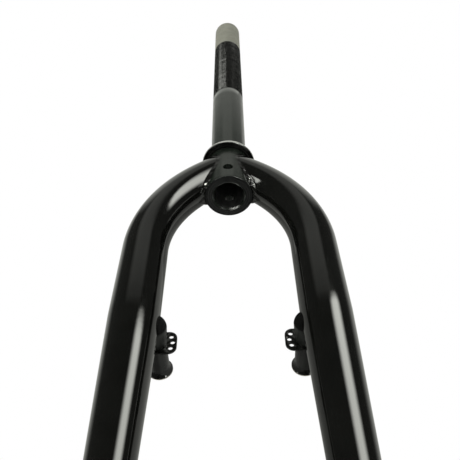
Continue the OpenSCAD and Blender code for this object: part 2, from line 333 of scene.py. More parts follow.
def towards(azimuth: np.ndarray, elevation: np.ndarray) -> np.ndarray:
    """Directions (sin a cos e, -cos a cos e, sin e), so azimuth 0 is behind the fork."""
    a, e = np.radians(azimuth), np.radians(elevation)
    return np.stack([np.sin(a) * np.cos(e), -np.cos(a) * np.cos(e), np.sin(e)], axis=-1)


def revolve(profile: np.ndarray, axis: Axis, centre: Triple, segments: int) -> np.ndarray:
    """Turns a profile round an axis.

    A profile point (r, s) goes to r cos a, r sin a across the axis and s along it.

    Args:
        profile: rows of radius and place along the axis.
        axis: the axis it is turned about.
        centre: where the profile's axis starts.
        segments: points round the axis.

    Returns:
        The grid, rows along the profile and columns round the axis.
    """
    spots = around_z(profile[:, :1], circle_angles(segments), profile[:, 1:])
    return spots[..., list(axis.value)] + np.asarray(centre, dtype=float)


def shade(mesh: bpy.types.Mesh, smooth_angle: float) -> None:
    """Shades a mesh smooth, and keeps the edges above an angle sharp."""
    mesh.shade_smooth()
    mesh.set_sharp_from_angle(angle=math.radians(smooth_angle))


def place_mesh(mesh: bpy.types.Mesh, smooth_angle: float = SHARP) -> bpy.types.Object:
    """Links a shaded mesh to the scene as an object of the same name.

    Args:
        mesh: the mesh, with its place in its points.
        smooth_angle: edges sharper than this stay sharp.

    Returns:
        The object, at the origin.
    """
    shade(mesh, smooth_angle)
    piece = bpy.data.objects.new(mesh.name, mesh)
    bpy.context.collection.objects.link(piece)
    return piece


def bake(piece: bpy.types.Object, smooth_angle: float = SHARP) -> None:
    """Applies a piece's modifiers to its mesh.

    Args:
        piece: the object.
        smooth_angle: edges sharper than this stay sharp.
    """
    bpy.context.view_layer.update()
    graph = bpy.context.evaluated_depsgraph_get()
    mesh = bpy.data.meshes.new_from_object(piece.evaluated_get(graph))
    piece.modifiers.clear()
    old = piece.data
    piece.data = mesh
    bpy.data.meshes.remove(old)
    mesh.name = piece.name
    shade(mesh, smooth_angle)


def cut(
    piece: bpy.types.Object, cutters: list[bpy.types.Object], smooth_angle: float = SHARP
) -> None:
    """Cuts holes in a piece and removes the cutters.

    Args:
        piece: the object that is cut.
        cutters: closed objects that say where.
        smooth_angle: edges sharper than this stay sharp.
    """
    for cutter in cutters:
        modifier = piece.modifiers.new(cutter.name, "BOOLEAN")
        modifier.operation = "DIFFERENCE"
        modifier.solver = "EXACT"
        modifier.object = cutter
    bake(piece, smooth_angle)
    for cutter in cutters:
        mesh = cutter.data
        bpy.data.objects.remove(cutter)
        bpy.data.meshes.remove(mesh)


def round_edges(piece: bpy.types.Object, width: float, segments: int, angle: float) -> None:
    """Rounds the edges of a piece.

    Args:
        piece: the object.
        width: width of the rounding.
        segments: faces across it.
        angle: edges less sharp than this are left alone.
    """
    bevel = piece.modifiers.new("edges", "BEVEL")
    bevel.width = width * MM
    bevel.segments = segments
    bevel.limit_method = "ANGLE"
    bevel.angle_limit = math.radians(angle)
    bake(piece)


def make_plate(name: str, near: np.ndarray, far: np.ndarray, flip: bool) -> bpy.types.Object:
    """Makes a flat enamelled plate between two copies of one outline.

    Args:
        name: the piece's name.
        near: the outline's points on one face.
        far: the same points on the other face.
        flip: whether the faces run the other way round.

    Returns:
        The object, at the origin, in metres.
    """
    count, way = len(near), -1 if flip else 1
    index = np.arange(count)
    beside = np.roll(index, -1)
    rim = np.stack([index, beside, beside + count, index + count], axis=-1)[:, ::way]
    faces = [index[::-way].tolist(), (index + count)[::way].tolist(), *rim.tolist()]
    mesh = bpy.data.meshes.new(name)
    mesh.from_pydata((np.concatenate([near, far]) * MM).tolist(), [], faces)
    mesh.materials.append(FINISHES[Surface.ENAMEL].build())
    return place_mesh(mesh)


def keep(piece: bpy.types.Object, node: str) -> None:
    """Lets a piece ride on the fork in place of its CAD node, and reports it.

    Args:
        piece: the finished object.
        node: the CAD node that it stands for.
    """
    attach(piece, "root")
    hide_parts(node)
    log.info("%s: %d faces", piece.name, len(piece.data.polygons))


class Shell:
    """Gathers grids of points in millimetres and turns them into one mesh."""

    def __init__(self, name: str, finishes: list[Surface]) -> None:
        """Starts an empty shell.

        Args:
            name: the piece's name.
            finishes: its material slots in order.
        """
        self.name = name
        self.finishes = finishes
        self.points: list[np.ndarray] = []
        self.faces: list[np.ndarray] = []
        self.slots: list[np.ndarray] = []
        self.count = 0

    def add_grid(
        self,
        grid: np.ndarray,
        slot: int | np.ndarray = 0,
        wrap_rows: bool = False,
        capped: bool = True,
        lead: int = 0,
    ) -> None:
        """Adds a surface whose columns run round and close on themselves.

        Each cell of the grid becomes one quad; cells without width are left out.

        Args:
            grid: points as rows, columns and x, y, z.
            slot: material slot, one number or one for each row of cells.
            wrap_rows: whether the last row joins the first.
            capped: whether open ends close on their middle point.
            lead: rows by which the last column is ahead of the first, as on a thread.
        """
        rows, columns = grid.shape[:2]
        points = grid.reshape(-1, 3)
        index = np.arange(rows * columns).reshape(rows, columns)
        beside = np.roll(index, -1, axis=1)
        if lead:
            beside[:-lead, -1] = index[lead:, 0]
            beside[-lead:, -1] = index[-lead:, -1]
        lower, lower_beside = (index, beside) if wrap_rows else (index[:-1], beside[:-1])
        upper = np.roll(index, -1, axis=0) if wrap_rows else index[1:]
        upper_beside = np.roll(beside, -1, axis=0) if wrap_rows else beside[1:]
        quads = np.stack([lower, lower_beside, upper_beside, upper], axis=-1)
        slots = np.broadcast_to(np.asarray(slot).reshape(-1, 1), quads.shape[:2]).reshape(-1)
        quads = quads.reshape(-1, 4)
        whole = (quads[:, 0] != quads[:, 1]) | (quads[:, 2] != quads[:, 3])
        quads, slots = quads[whole], slots[whole]
        if capped and not wrap_rows:
            first, last = index[0], index[-1]
            middle = np.full(columns, rows * columns)
            foot = np.stack([np.roll(first, -1), first, middle, middle], axis=-1)
            head = np.stack([last, np.roll(last, -1), middle + 1, middle + 1], axis=-1)
            quads = np.concatenate([quads, foot, head])
            slots = np.concatenate([slots, np.repeat([slots[0], slots[-1]], columns)])
            points = np.concatenate([points, [grid[0].mean(axis=0), grid[-1].mean(axis=0)]])
        self.points.append(points)
        self.faces.append(quads + self.count)
        self.slots.append(slots)
        self.count += len(points)

    def make(self, smooth_angle: float = SHARP, merge: bool = False) -> bpy.types.Object:
        """Makes the Blender object.

        All faces are turned outwards together by the sign of the volume, the
        sum over the faces of corner dot (edge cross edge) / 6. A quad whose
        first or last two corners are one point becomes a triangle.

        Args:
            smooth_angle: edges sharper than this stay sharp.
            merge: whether points in the same place become one.

        Returns:
            The object, at the origin, in metres.
        """
        points = np.concatenate(self.points) * MM
        faces = np.concatenate(self.faces)
        a, b, c, d = np.moveaxis(points[faces], 1, 0)
        if (a * (np.cross(b, c) + np.cross(c, d))).sum() < 0:
            faces = faces[:, ::-1]
        last_doubled = faces[:, 2] == faces[:, 3]
        first_doubled = faces[:, 0] == faces[:, 1]
        corner_count = np.where(last_doubled | first_doubled, 3, 4)
        used = np.ones_like(faces, dtype=bool)
        used[last_doubled, 3] = False
        used[first_doubled, 0] = False
        mesh = bpy.data.meshes.new(self.name)
        mesh.vertices.add(len(points))
        mesh.vertices.foreach_set("co", points.astype(np.float32).ravel())
        mesh.loops.add(int(corner_count.sum()))
        mesh.loops.foreach_set("vertex_index", faces[used].astype(np.int32))
        mesh.polygons.add(len(faces))
        starts = np.concatenate([[0], np.cumsum(corner_count)[:-1]])
        mesh.polygons.foreach_set("loop_start", starts.astype(np.int32))
        mesh.polygons.foreach_set("loop_total", corner_count.astype(np.int32))
        for finish in self.finishes:
            mesh.materials.append(FINISHES[finish].build())
        slots = np.concatenate(self.slots)
        mesh.polygons.foreach_set("material_index", slots.astype(np.int32))
        mesh.update(calc_edges=True)
        mesh.validate()
        if merge:
            table = bmesh.new()
            table.from_mesh(mesh)
            bmesh.ops.remove_doubles(table, verts=table.verts, dist=MERGE)
            bmesh.ops.recalc_face_normals(table, faces=table.faces)
            table.to_mesh(mesh)
            table.free()
        return place_mesh(mesh, smooth_angle)


@dataclass(frozen=True)
class SteererSizes:
    """Sizes of the steerer, from the race flat.

    top_edge lists how far inwards from the bare skin and down from the top its
    rounded edge runs. foot_rings lists how far outwards from the foot's rim and
    up from the foot its turned rings lie.
    """

    radius: float = 12.7
    bare_step: float = 0.1
    top: float = 264.0
    top_edge: Points = ((0.0, 20.0), (0.0, 1.3), (0.08, 0.9), (0.7, 0.12), (0.85, 0.0))
    thread_low: float = 101.3
    thread_high: float = 209.8
    thread_pitch: float = 1.058
    thread_depth: float = 0.62
    thread_form: Points = ((0.0, 0.0), (0.125, 0.0), (0.5, 1.0), (0.625, 1.0))
    thread_fade: float = 1.5
    crest_taper: float = 0.1
    bore: float = 11.1
    bore_edge: float = 0.35
    foot_bore: float = 10.3
    bore_step: float = 46.0
    bore_cone: float = 2.0
    butt_top: float = 14.8
    butt_foot: float = 16.0
    shoulder: float = -2.6
    foot: float = -42.0
    foot_round: float = 0.35
    foot_chamfer: float = 1.0
    chamfer_bulge: float = 0.006
    foot_rings: Points = (
        (-4.1, 0.0), (-3.9, 0.06), (-3.7, 0.01), (-2.7, 0.0),
        (-2.45, 0.08), (-2.2, 0.01), (-1.3, 0.0), (-1.15, 0.05),
    )
    land: float = 13.7
    seat: float = 13.25
    seat_height: float = 6.5
    seat_edge: float = 0.4
    bolt_hole: float = 3.4
    bolt_height: float = -29.3
    bolt_reach: float = 24.0
    segments: int = 88
    hole_segments: int = 48
    smooth_angle: float = 34.0


@dataclass
class Steerer:
    """The steerer tube with its thick lower end, its thread and its bore."""

    sizes: SteererSizes = field(default_factory=SteererSizes)

    def butt_radius(self, height: np.ndarray) -> np.ndarray:
        """Radius of the thick lower end: a straight line from its foot to its shoulder."""
        s = self.sizes
        share = (height - s.foot) / (s.shoulder - s.foot)
        return s.butt_foot + share * (s.butt_top - s.butt_foot)

    def inside(self) -> tuple[list[tuple], list[tuple]]:
        """Half section from above the thread over the top and down the bore.

        Returns:
            The points of the bare top and the points of the bore, as radius and height.
        """
        s = self.sizes
        bare = s.radius - s.bare_step
        top = [(bare, s.thread_high), (bare, s.thread_high + 0.8)]
        top += [(bare - inwards, s.top - down) for inwards, down in s.top_edge]
        top += [(s.bore + s.bore_edge, s.top)]
        bore = [(s.bore, z) for z in (s.top - s.bore_edge, 180.0, 110.0, s.bore_step)]
        low = (s.bore_step - s.bore_cone, 10.0, -20.0, s.foot + 1.5)
        return top, bore + [(s.foot_bore, z) for z in low]

    def profile(self) -> tuple[np.ndarray, np.ndarray]:
        """Half section from above the thread over the top, down the bore and up the outside.

        The mouth of the bore is a straight chamfer with a slight hollow, bulge
        * sin(pi share), and the foot's rim is a quarter circle.

        Returns:
            The profile's points and the material slot of each row of cells.
        """
        s = self.sizes
        top, bore = self.inside()
        share = np.linspace(0.0, 1.0, 6)
        bulge = s.chamfer_bulge * np.sin(math.pi * share)
        mouth = np.stack([
            s.foot_bore + s.foot_chamfer * share - bulge,
            s.foot + s.foot_chamfer * (1 - share) - bulge,
        ], axis=-1)
        rings = np.array(s.foot_rings) + np.array([s.butt_foot, s.foot])
        corner = np.array([s.butt_foot - s.foot_round, s.foot + s.foot_round])
        rim = corner + arc(s.foot_round, -90.0, 0.0, 7)
        height = np.linspace(s.foot + 3.0, s.shoulder - 0.3, 14)
        butt = np.stack([self.butt_radius(height), height], axis=-1)
        neck = [
            (s.butt_top - 0.3, s.shoulder), (s.land, s.shoulder), (s.land, 0.0), (s.seat, 0.0),
            (s.seat, s.seat_height - s.seat_edge), (s.seat - s.seat_edge, s.seat_height),
            (s.radius, s.seat_height),
        ]
        height = np.linspace(s.seat_height + 1.0, s.thread_low, 12)
        plain = np.stack([np.full(12, s.radius), height], axis=-1)
        parts = (
            (top, 1), (bore, 2), (mouth, 0), (rings, 4), (rim, 4), (butt, 0), (neck, 0), (plain, 0),
        )
        slots = np.concatenate([np.full(len(part), slot) for part, slot in parts])
        return np.concatenate([part for part, _ in parts]), slots[1:]

    def thread(self) -> np.ndarray:
        """Grid of the thread: each row climbs by one pitch in a turn.

        Row r and angle a lie at height low + pitch * (place of r + a / turn - 1),
        held between the thread's two ends. The radius is the crest less the
        depth times the form of a thread with flat crests and flat roots,
        fading out over one and a half pitches at each end.

        Returns:
            The grid.
        """
        s = self.sizes
        form = np.array(s.thread_form)
        length = s.thread_high - s.thread_low
        turns = math.ceil(length / s.thread_pitch) + 2
        place = (np.arange(turns)[:, None] + form[None, :, 0]).ravel()[:, None]
        depth = np.tile(form[:, 1], turns)[:, None]
        angle = circle_angles(s.segments)[None, :]
        z = s.thread_low + s.thread_pitch * (place + angle / TAU - 1.0)
        z = np.clip(z, s.thread_low, s.thread_high)
        reach = s.thread_fade * s.thread_pitch
        fade = np.clip((z - s.thread_low) / reach, 0, 1)
        fade = fade * np.clip((s.thread_high - z) / reach, 0, 1)
        crest = s.radius - s.crest_taper * (z - s.thread_low) / length
        return around_z(crest - s.thread_depth * depth * fade, angle, z)

    def build(self) -> None:
        """Makes the steerer and drills its bolt hole."""
        s = self.sizes
        finishes = [Surface.RAW_PAINT, Surface.PRIMER, Surface.BORE, Surface.THREAD, Surface.FOOT]
        shell = Shell("steerer", finishes)
        points, slots = self.profile()
        tube = revolve(points, Axis.Z, (0.0, 0.0, 0.0), s.segments)
        shell.add_grid(tube, slots, capped=False)
        shell.add_grid(self.thread(), 3, capped=False, lead=len(s.thread_form))
        piece = shell.make(s.smooth_angle, merge=True)
        # The bolt hole's wall takes the near-black matte: painted shade in the hole.
        drill = Shell("bolt_drill", [Surface.HOLE])
        hole = np.array([(s.bolt_hole, -s.bolt_reach), (s.bolt_hole, s.bolt_reach)])
        drill.add_grid(revolve(hole, Axis.Y, (0.0, 0.0, s.bolt_height), s.hole_segments))
        cut(piece, [drill.make()], s.smooth_angle)
        keep(piece, "steerer_tube")


@dataclass(frozen=True)
class RaceRing:
    """The ring under the crown race: bright on its rim and top, painted below."""

    radius: float = 18.8
    bore: float = 13.8
    thickness: float = 2.6
    edge: float = 0.25
    groove: Points = ((2.9, 0.0), (2.6, 0.3), (2.1, 0.3), (1.8, 0.0))
    segments: int = 160
    smooth_angle: float = 30.0

    def build(self) -> None:
        """Makes the ring, with a shallow groove in its underside."""
        r, b, t, e = self.radius, self.bore, self.thickness, self.edge
        groove = [(r - inwards, -t + deep) for inwards, deep in self.groove]
        profile = np.array([
            (b, -t), *groove, (r - 1.6 * e, -t), (r - 0.5 * e, -t + 0.3 * e), (r, -t + 1.2 * e),
            (r, -e), (r - 0.3 * e, -0.3 * e), (r - e, 0.0), (b, 0.0),
        ])
        slots = np.array([0, 0, 0, 0, 0, 0, 0, 1, 1, 1, 1, 0])
        shell = Shell("crown_race_ring_piece", [Surface.ENAMEL, Surface.BRIGHT])
        ring = revolve(profile, Axis.Z, (0.0, 0.0, 0.0), self.segments)
        shell.add_grid(ring, slots, wrap_rows=True)
        keep(shell.make(self.smooth_angle), "crown_race_ring")


@dataclass(frozen=True)
class BladeSizes:
    """Sizes of one blade.

    inset is how deep the blade's upper end runs into the steerer. The slot's
    run is measured along the tip, from the end of the rake bend.
    """

    x: float = 50.35
    radius: float = 13.7
    bend_radius: float = 95.4
    bend_z: float = -96.007
    bend_limit: float = 66.0
    taper_z: float = -152.2
    taper_ease: float = 0.06
    rake_z: float = -284.0
    rake_radius: float = 9.7
    rake_bend: float = 180.0
    rake_angle: float = 26.0
    tip_length: float = 34.0
    tip_radius: float = 7.6
    tip_close: float = 88.0
    slot_x: float = 52.5
    slot_half: float = 2.6
    slot_reach: float = 20.0
    slot_run: tuple[float, float] = (21.9, 60.0)
    inset: float = 0.3
    segments: int = 96
    bend_rows: int = 72
    rake_rows: int = 40
    tip_rows: int = 12
    smooth_angle: float = 40.0


@dataclass
class Blade:
    """One blade: crown bend, straight tube, taper, rake bend and slotted tip."""

    side: Side
    sizes: BladeSizes = field(default_factory=BladeSizes)
    steerer: Steerer = field(default_factory=Steerer)

    def bend_point(self, turn: np.ndarray, round_tube: np.ndarray, grow: float = 0.0) -> np.ndarray:
        """Points on the crown bend's skin.

        The tube's centre runs on a circle in the plane of X and Z. A point is
        the centre plus the radius times (cos b outwards + sin b forwards).

        Args:
            turn: angle along the bend in radians, 0 where the straight blade starts.
            round_tube: angle round the tube in radians.
            grow: how much wider the tube is taken.

        Returns:
            The points.
        """
        s = self.sizes
        radius = s.radius + grow
        reach = s.bend_radius + radius * np.cos(round_tube)
        x = s.x - s.bend_radius + reach * np.cos(turn)
        z = s.bend_z + reach * np.sin(turn)
        y = radius * np.sin(round_tube) + 0.0 * turn
        return np.stack([x, y, z], axis=-1)

    def seam_turn(self, round_tube: np.ndarray, outside: float, grow: float = 0.0) -> np.ndarray:
        """Angle along the bend at which each line of the tube meets the steerer.

        It is found by halving the interval in which the distance from the
        steerer's axis passes the radius of its thick lower end.

        Args:
            round_tube: angle round the tube of each line, in radians.
            outside: how far outside the steerer's surface the line ends.
            grow: how much wider the tube is taken.

        Returns:
            One angle in radians for each line.
        """
        low = np.zeros_like(round_tube)
        high = np.full_like(round_tube, math.radians(self.sizes.bend_limit))
        for _ in range(40):
            middle = (low + high) / 2
            p = self.bend_point(middle, round_tube, grow)
            limit = self.steerer.butt_radius(p[..., 2]) + outside
            far = np.hypot(p[..., 0], p[..., 1]) > limit
            low, high = np.where(far, middle, low), np.where(far, high, middle)
        return low

    def straight_rows(self) -> tuple[np.ndarray, np.ndarray]:
        """Rows of the straight part, whose taper is a line with a slight ease.

        Returns:
            Their heights and radii, as columns.
        """
        s = self.sizes
        plain = np.linspace(s.bend_z, s.taper_z, 14)[1:]
        z = np.concatenate([plain, np.linspace(s.taper_z, s.rake_z, 30)[1:]])[:, None]
        share = np.clip((s.taper_z - z) / (s.taper_z - s.rake_z), 0, 1)
        share = ease(share) * s.taper_ease + share * (1 - s.taper_ease)
        return z, s.radius + share * (s.rake_radius - s.radius)

    def low_rows(self) -> tuple[np.ndarray, np.ndarray, np.ndarray]:
        """Rows of the rake bend, the slim tip and its round end.

        Returns:
            Their angle in radians, their run past the bend and their radius, as columns.
        """
        s = self.sizes
        turn = np.radians(np.linspace(0.0, s.rake_angle, s.rake_rows)[1:])
        share = np.linspace(0.0, 1.0, s.tip_rows)[1:]
        cap = arc(s.tip_radius, 0.0, s.tip_close, s.tip_rows)[1:]
        slim = s.rake_radius + share * (s.tip_radius - s.rake_radius)
        run = np.concatenate([0 * turn, share * s.tip_length, s.tip_length + cap[:, 1]])
        radius = np.concatenate([0 * turn + s.rake_radius, slim, cap[:, 0]])
        angle = np.full(len(run), math.radians(s.rake_angle))
        angle[:len(turn)] = turn
        return angle[:, None], run[:, None], radius[:, None]

    def low_point(self, angle: np.ndarray, run: np.ndarray, ahead: np.ndarray) -> np.ndarray:
        """Y and Z of points ahead of the centre line of the rake bend and the tip.

        The line is a circle of the bend's radius and then straight on.

        Args:
            angle: angle along the bend in radians.
            run: distance past the end of the bend.
            ahead: distance from the line, square to it and forwards.

        Returns:
            The two coordinates, stacked on the first axis.
        """
        s = self.sizes
        cos, sin = np.cos(angle), np.sin(angle)
        y = s.rake_bend * (1 - cos) + run * sin + ahead * cos
        return np.stack([y, s.rake_z - s.rake_bend * sin - run * cos + ahead * sin])

    def grid(self) -> np.ndarray:
        """The whole blade as one grid, from the steerer to the closed tip.

        Returns:
            The grid in the fork's frame.
        """
        s = self.sizes
        around = circle_angles(s.segments)[None, :]
        share = np.linspace(0.0, 1.0, s.bend_rows)[:, None]
        bend = self.bend_point(self.seam_turn(around, -s.inset) * (1 - share), around)
        z, radius = self.straight_rows()
        straight = around_z(radius, around, z) + np.array([s.x, 0.0, 0.0])
        angle, run, radius = self.low_rows()
        y, z = self.low_point(angle, run, radius * np.sin(around))
        low = np.stack([s.x + radius * np.cos(around), y, z], axis=-1)
        return np.concatenate([bend, straight, low]) * np.array([self.side.value, 1.0, 1.0])

    def tip_slot(self) -> bpy.types.Object:
        """Makes the slab that cuts the slot for the fork end's tang.

        Returns:
            The slab, which runs out past the tip.
        """
        s = self.sizes
        across = s.slot_half * np.array([-1.0, 1.0, 1.0, -1.0])
        ahead = s.slot_reach * np.array([-1.0, -1.0, 1.0, 1.0])
        y, z = self.low_point(math.radians(s.rake_angle), np.array(s.slot_run)[:, None], ahead)
        x = np.broadcast_to(self.side.value * (s.slot_x + across), y.shape)
        slab = Shell(self.side.word + "_slot_cutter", [Surface.ENAMEL])
        slab.add_grid(np.stack([x, y, z], axis=-1))
        return slab.make()

    def build(self) -> None:
        """Makes the blade."""
        shell = Shell(self.side.word + "_blade_tube", [Surface.ENAMEL])
        shell.add_grid(self.grid())
        piece = shell.make(self.sizes.smooth_angle)
        cut(piece, [self.tip_slot()], self.sizes.smooth_angle)
        keep(piece, self.side.word + "_blade")


@dataclass
class CrownWeld:
    """The weld bead between a blade and the steerer, open at the crotch under the foot.

    Places along the bead are angles round the blade, 0 on its outer side.
    lumps lists the angle, height and width of each swelling, glint_balls the angle,
    share across the bead and radius of each bright ball that paints a highlight
    on it, and waves the pitch, height and phase of each ripple. Each pair of
    angles says where a change starts and over how much it grows.
    """

    blade: Blade
    glint_balls: Points = ()
    lumps: Points = (
        (-118.0, 0.25, 5.0), (-131.0, 0.35, 4.0), (-143.0, 0.5, 3.6), (-153.0, 0.4, 3.6),
    )
    waves: Points = ((4.9, 1.0, 0.0), (7.7, 0.6, 0.8), (1.63, 0.1, 2.1))
    leg: float = 1.8
    wide: float = 1.9
    wide_at: tuple[float, float] = (100.0, 42.0)
    ear_at: tuple[float, float] = (152.0, 12.0)
    ear_passes: float = 3.5
    thin_end: float = 0.35
    thin_sections: float = 12.0
    rise: float = 0.24
    span: float = 352.0
    sink: float = -0.06
    ripple: float = 0.12
    ripple_bow: float = 1.6
    sections: int = 340
    columns: int = 22
    lowest: float = -41.2
    highest: float = -2.75
    smooth_angle: float = 50.0

    def unroll(self, point: np.ndarray) -> np.ndarray:
        """Place on the unrolled lower end: distance round it, and height."""
        round_it = np.arctan2(point[..., 1], point[..., 0])
        round_it = round_it * self.blade.steerer.butt_radius(point[..., 2])
        return np.stack([round_it, point[..., 2]], axis=-1)

    def roll_up(self, flat: np.ndarray) -> np.ndarray:
        """Place in space of a point on the unrolled lower end."""
        radius = self.blade.steerer.butt_radius(flat[..., 1])
        return around_z(radius + self.sink, flat[..., 0] / radius, flat[..., 1])

    def on_blade(self, around: np.ndarray, back: float | np.ndarray = 0.0) -> np.ndarray:
        """Points on the blade at angles round it, turned back from the corner with the steerer."""
        seam = self.blade.seam_turn(around, self.sink, self.sink)
        return self.blade.bend_point(seam - back, around, self.sink)

    def edges(
        self, b: np.ndarray, leg: np.ndarray, low: np.ndarray
    ) -> tuple[np.ndarray, np.ndarray]:
        """The bead's two edges, a leg away from the corner on steerer and blade.

        Args:
            b: angles round the blade in radians.
            leg: how far the bead reaches on each side of the corner.
            low: share by which it is widened.

        Returns:
            Its edge on the steerer and its edge on the blade.
        """
        run = self.unroll(self.on_blade(b + 0.07)) - self.unroll(self.on_blade(b - 0.07))
        away = unit(np.stack([-run[:, 1], run[:, 0]], axis=-1))
        reach = leg / (1 + 0.5 * self.wide * low)
        flat = self.unroll(self.on_blade(b)) + reach[:, None] * away
        flat[:, 1] = np.clip(flat[:, 1], self.lowest, self.highest)
        sizes = self.blade.sizes
        back = leg / (sizes.bend_radius + sizes.radius * np.cos(b))
        return self.roll_up(flat), self.on_blade(b, back)

    def swell(self, root: np.ndarray, degrees: np.ndarray, t: np.ndarray) -> np.ndarray:
        """Height of ripples and lumps at each place on the bead.

        The ripples are sines of the distance along the joint, bowed across it.
        In the ears at both ends fine passes run along the bead instead.

        Args:
            root: points of the corner along the joint.
            degrees: angle round the blade of each, as a column.
            t: share across the bead.

        Returns:
            The height, before it fades to the bead's edges.
        """
        step = np.linalg.norm(np.diff(root, axis=0), axis=1)
        along = np.concatenate([[0.0], np.cumsum(step)])[:, None, None]
        along = along + self.ripple_bow * (t - 0.5) ** 2
        wave = sum(h * np.sin(TAU * along / pitch + phase) for pitch, h, phase in self.waves)
        ear = np.clip((np.abs(degrees) - self.ear_at[0]) / self.ear_at[1], 0.0, 1.0)
        wave = wave * (1 - 0.7 * ear) + 0.8 * ear * np.sin(TAU * self.ear_passes * t)
        lumps = sum(h * np.exp(-(((degrees - d) / w) ** 2)) for d, h, w in self.lumps)
        return self.ripple * wave + lumps

    def grid(self) -> np.ndarray:
        """Sections of the bead, one for each place along the joint.

        Between its edge on the steerer and its edge on the blade a section is
        the curve (1-t)^2 a + 2t(1-t) q + t^2 b, where q stands proud of the
        chord. The bead grows wider towards the crotch, by wide * leg. Ripples
        and lumps stand on it, faded to its edges by sin(pi t).

        Returns:
            The grid: along the joint, round the section, and x, y, z.
        """
        b = np.radians(np.linspace(-self.span / 2, self.span / 2, self.sections))
        degrees = np.degrees(b)
        from_end = np.minimum(np.arange(self.sections), np.arange(self.sections)[::-1])
        low = ease((np.abs(degrees) - self.wide_at[0]) / self.wide_at[1])
        thin = np.minimum(1.0, self.thin_end + from_end / self.thin_sections)
        leg = self.leg * thin * (1 + self.wide * low)
        root = self.on_blade(b)
        upper, lower = self.edges(b, leg, low)
        middle = (upper + lower) / 2
        out = unit(middle - root)
        proud = middle + 2 * (self.rise * (leg / self.leg) * (1 - 0.8 * low))[:, None] * out
        t = np.linspace(0.0, 1.0, self.columns)[None, :, None]
        curve = (1 - t) ** 2 * upper[:, None] + 2 * t * (1 - t) * proud[:, None]
        curve = curve + t**2 * lower[:, None]
        size = np.minimum(leg / self.leg, 1.3)[:, None, None]
        swell = self.swell(root, degrees[:, None, None], t)
        curve = curve + swell * np.sin(math.pi * t) * size * out[:, None]
        grid = np.concatenate([root[:, None], curve], axis=1)
        return grid * np.array([self.blade.side.value, 1.0, 1.0])

    def build(self) -> None:
        """Makes the bead and its bright balls, which are painted highlights."""
        word = self.blade.side.word
        shell = Shell(word + "_weld_bead", [Surface.WELD, Surface.BRIGHT])
        grid = self.grid()
        shell.add_grid(grid)
        # Each bright ball is a painted highlight on the bead.
        for degrees, across, radius in self.glint_balls:
            row = round((degrees / self.span + 0.5) * (self.sections - 1))
            middle = grid[row, 1 + round(across * (self.columns - 1))]
            ball = arc(radius, -86.0, 86.0, 12)
            shell.add_grid(revolve(ball, Axis.Y, tuple(middle), 24), 1)
        keep(shell.make(self.smooth_angle), word + "_crown_weld")


@dataclass
class ForkEnd:
    """One forged fork end: a plate with a slot for the axle and a tang in the blade.

    rear_arc and front_arc are the ends of the plate's round parts, in degrees
    about the axle, between which the tang leaves it.
    """

    side: Side
    axle_y: float = 41.889
    axle_z: float = -411.442
    inner_x: float = 50.0
    thickness: float = 5.0
    radius: float = 13.0
    rear_arc: tuple[float, float] = (180.0, 163.4)
    front_arc: tuple[float, float] = (68.6, 0.0)
    slot: float = 4.6
    jaw: float = 11.0
    chamfer: float = 2.5
    tang: float = 6.5
    tang_root: float = 18.0
    tang_length: float = 32.0
    lean: float = 26.0
    edge: float = 0.55

    def outline(self) -> np.ndarray:
        """The plate's outline round the axle, x forwards and y up.

        Returns:
            The points in order, without a repeat.
        """
        left = np.array([
            (-self.slot, -self.jaw),
            (self.chamfer - self.radius, -self.jaw),
            (-self.radius, self.chamfer - self.jaw),
        ])
        right = left[::-1] * np.array([-1.0, 1.0])
        tang = np.array([
            (-self.tang, self.tang_root), (-self.tang, self.tang_length),
            (self.tang, self.tang_length), (self.tang, self.tang_root),
        ])
        turn = math.radians(self.lean)
        spin = np.array([[math.cos(turn), math.sin(turn)], [-math.sin(turn), math.cos(turn)]])
        return np.concatenate([
            arc(self.slot, 0.0, 180.0, 25), left, arc(self.radius, *self.rear_arc, 8),
            tang @ spin, arc(self.radius, *self.front_arc, 20), right,
        ])

    def build(self) -> None:
        """Makes the plate and rounds its edges."""
        outline = self.outline() + np.array([self.axle_y, self.axle_z])
        sides = self.side.value * np.array([self.inner_x, self.inner_x + self.thickness])
        near, far = (np.insert(outline, 0, x, axis=1) for x in sides)
        name = self.side.word + "_fork_end_plate"
        piece = make_plate(name, near, far, flip=self.side is Side.LEFT)
        round_edges(piece, self.edge, 3, 30.0)
        keep(piece, self.side.word + "_fork_end")


